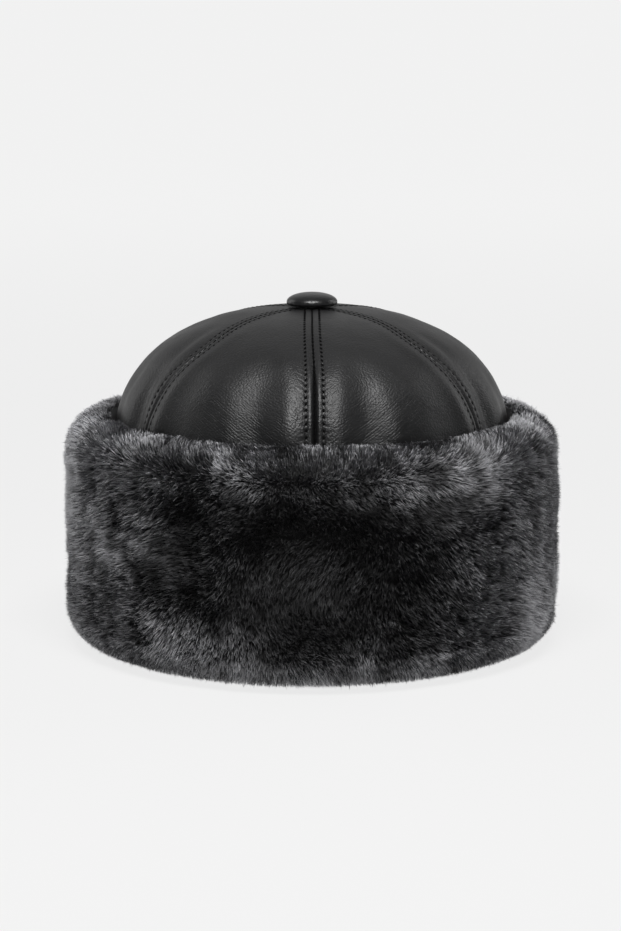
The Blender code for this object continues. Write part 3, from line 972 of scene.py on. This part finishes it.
# %% Skin that the fur grows from
def round_the_hat(offset, bearing, level):
    """A point at an offset from the crown's widest oval, at a bearing and a level."""
    across = (CROWN_HALF_WIDTH + offset) * np.sin(bearing)
    back = -(CROWN_HALF_DEPTH + offset) * np.cos(bearing)
    return np.stack([across, back, np.broadcast_to(level, across.shape)], axis=-1)


SKIN_COLUMNS = 180
skin_rows = skin_line[thinned(FUR_ROWS, 4)]
# the inner side, which lies against the leather: offset and level in mm
inner_rows = np.array([(-2.9, 4.0), (-1.0, 50.0), (0.9, 97.0), (1.3, 108.0)]) * MM
section = np.concatenate([inner_rows, skin_rows])
bearing = np.arange(SKIN_COLUMNS) * 2 * math.pi / SKIN_COLUMNS
skin_points = round_the_hat(section[:, :1], bearing[None, :], section[:, 1:])
skin_faces = grid_corners(len(section), SKIN_COLUMNS, wrap_rows=True, wrap_columns=True)

# %% [markdown]
# ## Fur, strand by strand
#
# Plush fur is thousands of strands that lean together in small tufts, lie in soft drifts where
# they have been stroked, and are dark at the root and frosted at the tip. Blender's hair could do
# it, but only meshes are kept in an exported model. So each strand here is a thin leaf of two
# triangles, from a root in the skin through a bend to a point, and all of them are computed as
# whole arrays. One material takes its grey from a number on each point, the frost, which also
# carries broad patches of painted light and shade.

# %% Fur material
fur_finish, tree, shader = new_material("frosted_fur")
# the frost holds the tips' own grey with broad patches of painted light and shade over it
shade = add_node(tree, "ShaderNodeAttribute", attribute_name="frost_and_painted_light")
ramp = add_node(tree, "ShaderNodeValToRGB", {"Fac": shade.outputs["Fac"]})
FUR_TONES = ((0.0, 0.003), (0.25, 0.016), (0.5, 0.09), (0.75, 0.31), (1.0, 0.52))
FUR_COOLNESS = 1.04
ramp.color_ramp.elements.remove(ramp.color_ramp.elements[1])
for position, tone in FUR_TONES:
    stop = ramp.color_ramp.elements[0] if position == 0 else ramp.color_ramp.elements.new(position)
    stop.color = (tone, tone, tone * FUR_COOLNESS, 1)
tree.links.new(ramp.outputs["Color"], shader.inputs["Base Color"])
shader.inputs["Roughness"].default_value = 0.62
shader.inputs["Specular IOR Level"].default_value = 0.35
print("finish:", fur_finish.name)

# %% Skin piece
skin = make_piece("fur_skin", skin_points, [(skin_faces, 0)], [fur_finish])
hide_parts("fur_cuff")
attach(skin, "root")


# %% Where the strands stand
STEP_DOWN, STEP_ROUND = 0.7548776662466927, 0.5698402909980532


def spread(count, seed):
    """Evenly scattered pairs from 0 to 1: multiples of two irrational steps, without the whole."""
    number = np.arange(count) + 0.5 + seed
    return (number * STEP_DOWN) % 1, (number * STEP_ROUND) % 1


STRANDS = 330000
UNDERSIDE_FROM, UNDERSIDE_SHARE = 140 * MM, 0.45
CUFF_ROUND = math.pi * (CROWN_HALF_WIDTH + CROWN_HALF_DEPTH + 2 * CUFF_THICKNESS)
share_down, share_round = spread(STRANDS, 0)
row_area = (CROWN_HALF_WIDTH + CROWN_HALF_DEPTH) / 2 + tips_line[:, 0]
row_area[row_walk > UNDERSIDE_FROM] *= UNDERSIDE_SHARE
area_walk = np.cumsum(row_area) / row_area.sum()
strand_row = np.interp(share_down, area_walk, np.arange(FUR_ROWS))
strand_bearing = share_round * 2 * math.pi
strand_walk = strand_row / (FUR_ROWS - 1) * OUTLINE_LENGTH
print("strands:", STRANDS)


# %% Tufts
def tuft_of(down, around, size, seed):
    """The nearest of a scatter of tuft middles: one in each square cell, moved at random."""
    around_cells = round(CUFF_ROUND / size)
    x, y = around / CUFF_ROUND * around_cells, down / size
    best = np.full(x.shape, np.inf)
    middle_x, middle_y = np.zeros_like(x), np.zeros_like(y)
    kind = np.zeros_like(x)
    for step_x, step_y in itertools.product((-1, 0, 1), repeat=2):
        cell_x, cell_y = np.floor(x) + step_x, np.floor(y) + step_y
        cell = np.stack([cell_x % around_cells, cell_y + 50, np.full_like(x, 7)], axis=-1)
        jitter_x, jitter_y = lattice_value(cell, seed), lattice_value(cell, seed + 1)
        place_x, place_y = cell_x + 0.5 + 0.42 * jitter_x, cell_y + 0.5 + 0.42 * jitter_y
        away = (place_x - x) ** 2 + (place_y - y) ** 2
        nearer = away < best
        best = np.where(nearer, away, best)
        middle_x, middle_y = np.where(nearer, place_x, middle_x), np.where(nearer, place_y, middle_y)
        kind = np.where(nearer, lattice_value(cell, seed + 2), kind)
    return middle_y * size, middle_x / around_cells * CUFF_ROUND, kind


TUFT_SIZE, LOCK_SIZE = 2.8 * MM, 9.0 * MM
strand_around = share_round * CUFF_ROUND
tuft_down, tuft_around, tuft_kind = tuft_of(strand_walk, strand_around, TUFT_SIZE, 21)
lock_down, lock_around, lock_kind = tuft_of(strand_walk, strand_around, LOCK_SIZE, 31)


# %% Roots
def on_line(line, row):
    """A point on one of the outlines, at a fractional row."""
    return np.stack([np.interp(row, np.arange(FUR_ROWS), line[:, i]) for i in range(2)], axis=1)


def fur_point(line_point, bearing):
    """A point of an outline, which is an offset and a level, carried round to its bearing."""
    return round_the_hat(line_point[:, 0], bearing, line_point[:, 1])


root = fur_point(on_line(skin_line, strand_row), strand_bearing)
# the pile is held at the foot, where the hat stands on it, and free above
FOOT_FROM, FOOT_BLEND, FOOT_HOLD = 118 * MM, 14 * MM, 0.75
free = 1 - FOOT_HOLD * smooth_step((strand_walk - FOOT_FROM) / FOOT_BLEND)

# %% Tips: drawn into tufts, and stroked in drifts
TUFT_PULL, LOCK_PULL, SCATTER = 0.33, 0.12, 0.8 * MM
pull_tuft, pull_lock = TUFT_PULL * free, LOCK_PULL * free


def drawn_in(own, tuft, lock):
    """A strand's own place, moved a share of the way to the middles of its tuft and its lock."""
    return own + pull_tuft * (tuft - own) + pull_lock * (lock - own)


DRIFTS_DOWN = ((3.4 * MM, 26 * MM, 41), (0.9 * MM, 8 * MM, 42))
DRIFTS_ROUND = ((4.4 * MM, 30 * MM, 43), (1.1 * MM, 8 * MM, 44))
COMBED_DOWN = 1.2 * MM
rng = np.random.default_rng(5)
tip_walk = drawn_in(strand_walk, tuft_down, lock_down)
tip_around = drawn_in(strand_around, tuft_around, lock_around)
drift_down = (layered_noise(root, DRIFTS_DOWN) + COMBED_DOWN) * free
drift_round = layered_noise(root, DRIFTS_ROUND)
tip_walk = tip_walk + drift_down + rng.normal(0, SCATTER, STRANDS)
tip_around = tip_around + drift_round + rng.normal(0, SCATTER, STRANDS)
tip_row = np.clip(tip_walk / OUTLINE_LENGTH, 0, 1) * (FUR_ROWS - 1)
tip_bearing = tip_around / CUFF_ROUND * 2 * math.pi
tip_line = on_line(tips_line, tip_row)
tip_out = on_line(tips_normal, tip_row)
print("tips drift by up to, mm:", (np.abs(drift_round).max() / MM).round(1))

# %% Length: each tip ends short of the outline, or a few strays past it
STRAY_SHARE, STRAY_FROM, STRAY_TO = 0.012, -1.0 * MM, 0.6 * MM
TRIMMED, UNEVEN_ENDS, FURTHEST, LOWEST_TIP = 1.0 * MM, 0.6 * MM, 0.2 * MM, 0.3 * MM
# at the sides the pile stands in fine upright ribs
at_sides = smooth_step((np.abs(np.sin(strand_bearing)) - 0.6) / 0.2)
ribs = at_sides * soft_noise(root * (1, 1, 0.35), 4.5 * MM, 55)
short = 0.5 * MM * tuft_kind + 0.6 * MM * lock_kind + 0.8 * MM * soft_noise(root, 14 * MM, 45)
short = short + 0.8 * MM * ribs
short = free * short - TRIMMED - np.abs(rng.normal(0, UNEVEN_ENDS, STRANDS))
stray = rng.random(STRANDS) < STRAY_SHARE
longer = rng.uniform(STRAY_FROM, STRAY_TO, STRANDS) * free
short = np.where(stray, longer, np.minimum(short, FURTHEST))
tip_line = tip_line + tip_out * short[:, None]
tip_line[:, 1] = np.clip(tip_line[:, 1], LOWEST_TIP, None)
tip = fur_point(tip_line, tip_bearing)
print("strand length, mm:", (np.linalg.norm(tip - root, axis=1) / MM).mean().round(1))

# %% [markdown]
# ## From strands to leaves
#
# A leaf of two triangles would shine like a flake if it were shaded by its own flat face. Real
# pile is shaded as one soft coat, so each leaf gets normals of its own, called its nap here: half
# the way that the skin faces, half the way that the strand bows.

# %% Leaves of two triangles
NARROWEST, WIDEST = 0.20, 0.34
BEND_AT, BEND_BOW, TWIST = 0.70, 0.05, 0.45
axis = tip - root
length = np.linalg.norm(axis, axis=1, keepdims=True)
axis /= length
root_out = on_line(tips_normal, strand_row)
outward = np.stack([
    root_out[:, 0] * np.sin(strand_bearing), -root_out[:, 0] * np.cos(strand_bearing), root_out[:, 1]
], axis=1)
side = np.cross(axis, outward) + np.cross(axis, rng.normal(0, TWIST, (STRANDS, 3)))
side /= np.linalg.norm(side, axis=1, keepdims=True)
bow = np.cross(side, axis)
width = rng.uniform(NARROWEST, WIDEST, (STRANDS, 1)) * MM
bend = root + axis * length * BEND_AT + bow * rng.normal(0, BEND_BOW, (STRANDS, 1)) * length
leaf = np.stack([root, bend - side * width / 2, bend + side * width / 2, tip], axis=1)
print("leaves:", leaf.shape[0], "of", leaf.shape[1], "points")

# %% Nap, and leaves turned to face outwards
NAP_OUTWARD, NAP_BOW = 0.55, 0.45
nap = NAP_OUTWARD * outward + NAP_BOW * bow * np.sign((bow * outward).sum(axis=1, keepdims=True))
nap /= np.linalg.norm(nap, axis=1, keepdims=True)
front = np.cross(leaf[:, 1] - leaf[:, 0], leaf[:, 2] - leaf[:, 0])
turned = (front * outward).sum(axis=1) < 0
leaf[turned] = leaf[turned][:, [0, 2, 1, 3]]
print("leaves turned over:", int(turned.sum()))

# %% [markdown]
# ## Light and dark in the fur
#
# Broad patches of painted light and shade lie over the fur: painted shade in the middle of the front
# and of the back, and painted light on the roll, at the flanks and near the foot, with smaller darker
# and lighter spots between. A painted picture could hold them, but a table of soft ovals, each with a
# wandering edge, needs no picture and no seam at the back. Over it lie the mottling of tufts and
# locks and a little chance for each strand.

# %% Broad patches of painted light and shade
# each oval: its bearing and half its width in degrees, how far down the outline its middle is and
# half its height in mm, and how much painted light it adds to the frost of the tips, below nought
# for painted shade
PAINTED_LIGHT_PATCHES = (
    (2, 34, 82, 40, -0.50), (188, 42, 76, 34, -0.46), (112, 20, 80, 26, -0.25),
    (-57, 5, 86, 9, -0.32), (-39, 5, 86, 12, -0.26), (-48, 4, 82, 14, 0.20), (-36, 7, 28, 7, -0.30),
    (-30, 20, 50, 7, -0.22), (30, 20, 50, 7, -0.20), (0, 22, 30, 20, -0.12), (26, 5, 30, 8, -0.32),
    (40, 12, 32, 14, -0.08), (-64, 30, 30, 18, 0.36), (66, 18, 30, 22, 0.28),
    (-17, 7, 20, 10, 0.22), (-11, 5, 38, 6, 0.16), (4, 4, 10, 8, 0.04), (16, 7, 16, 10, 0.10),
    (20, 5, 40, 12, 0.22), (-53, 24, 116, 22, 0.36), (-9, 9, 128, 7, 0.12), (33, 14, 126, 9, 0.20),
    (60, 20, 108, 22, 0.14), (-84, 20, 80, 50, 0.06), (62, 24, 76, 46, 0.32),
    (135, 34, 26, 20, 0.16), (226, 34, 26, 20, 0.16), (172, 30, 122, 12, 0.10), (248, 16, 64, 12, 0.12),
)
edge_wander = layered_noise(root, ((1.0, 19 * MM, 53), (0.5, 9 * MM, 54)))
change = np.zeros(STRANDS)
for middle, half_wide, at_walk, half_high, amount in PAINTED_LIGHT_PATCHES:
    turn = (np.degrees(strand_bearing) - middle + 180) % 360 - 180
    away = np.hypot(turn / half_wide, (strand_walk / MM - at_walk) / half_high) + 0.22 * edge_wander
    change = change + amount * smooth_step((1.5 - away) / 1.1)
print("patches change the frost by", change.min().round(2), "to", change.max().round(2))

# %% Frost and painted light of each strand: none at the root, most at the tip
# how much each thing changes it: small patches, tufts, locks and ribs, then the broad patches of
# painted light and shade, painted sheen by how far the strand was stroked, and chance
SPOT_FROST, TUFT_FROST, LOCK_FROST, RIB_FROST = 0.36, 0.12, 0.07, 0.20
PLAIN_FROST, BROAD_PAINTED_LIGHT, LEAN_PAINTED_SHEEN, CHANCE_FROST = 0.84, 1.15, 0.14, 0.055
DULLEST, BRIGHTEST, BEND_FROST = 0.12, 1.1, 0.66
spots = layered_noise(root, ((0.55, 11 * MM, 51), (0.45, 4.5 * MM, 52)))
lean = np.hypot(drift_down, drift_round) / (4 * MM)
evened = SPOT_FROST * spots * (1 - 0.9 * np.clip(change, 0, 0.4))
mottled = evened + TUFT_FROST * tuft_kind + LOCK_FROST * lock_kind
mottled = mottled * (1 + np.clip(change, -0.7, 0)) + RIB_FROST * ribs
# the broad patches add painted light and shade, and the lean adds painted sheen, to the tips' own frost
tip_frost_and_painted_light = np.clip(PLAIN_FROST + BROAD_PAINTED_LIGHT * change, 0, 0.95) + mottled + LEAN_PAINTED_SHEEN * (lean - 0.5)
tip_frost_and_painted_light = np.clip(tip_frost_and_painted_light + rng.normal(0, CHANCE_FROST, STRANDS), DULLEST, BRIGHTEST)
bend_frost_and_painted_light = BEND_FROST * tip_frost_and_painted_light
frost_and_painted_light = np.stack([0 * tip_frost_and_painted_light, bend_frost_and_painted_light, bend_frost_and_painted_light, tip_frost_and_painted_light], axis=1)
print("frost of the tips, on average:", tip_frost_and_painted_light.mean().round(2))

# %% [markdown]
# ## Bands of fur
#
# One mesh of all the strands would be heavy to export, so they are parted into five bands by how
# far down the outline they stand. An exporter bakes the frost, with its painted light and shade,
# into a picture, for which each band has a map of its own: every strand gets a square cell of it,
# and no two share one.


# %% A map with a cell for each strand
CELL_PLACES = np.array([(0.5, 0.04), (0.08, 0.5), (0.92, 0.5), (0.5, 0.96)])


def cell_map(count):
    """Map places of all the leaves' points: cells numbered along rows, points spread in each."""
    cells_across = math.ceil(math.sqrt(count))
    cell = np.stack(np.divmod(np.arange(count), cells_across)[::-1], axis=1)[:, None, :]
    return ((cell + CELL_PLACES) / cells_across).reshape(-1, 2)


# %% Bands of fur as pieces
# each band: its name, and from where to where on the outline it stands, in mm
BANDS = (
    ("lip", 0, 21), ("roll", 21, 45), ("side_upper", 45, 78),
    ("side_lower", 78, 108), ("foot", 108, 999),
)
leaf_faces = np.array([(0, 1, 2), (1, 3, 2)])
for name, low, high in BANDS:
    chosen = (strand_walk >= low * MM) & (strand_walk < high * MM)
    points = leaf[chosen]
    step = (np.arange(len(points)) * 4)[:, None, None]
    band = make_piece("fur_" + name, points, [((leaf_faces + step).reshape(-1, 3), 0)], [fur_finish])
    layer = band.data.attributes.new("frost_and_painted_light", "FLOAT", "POINT")
    layer.data.foreach_set("value", frost_and_painted_light[chosen].astype(np.float32).ravel())
    band.data.normals_split_custom_set_from_vertices(np.repeat(nap[chosen], 4, axis=0))
    corner = np.zeros(len(band.data.loops), dtype=np.int32)
    band.data.loops.foreach_get("vertex_index", corner)
    baked_map = band.data.uv_layers.new(name="OFBake")
    places = cell_map(len(points))[corner]
    baked_map.data.foreach_set("uv", places.astype(np.float32).ravel())
    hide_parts("fur_cuff")
    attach(band, "root")
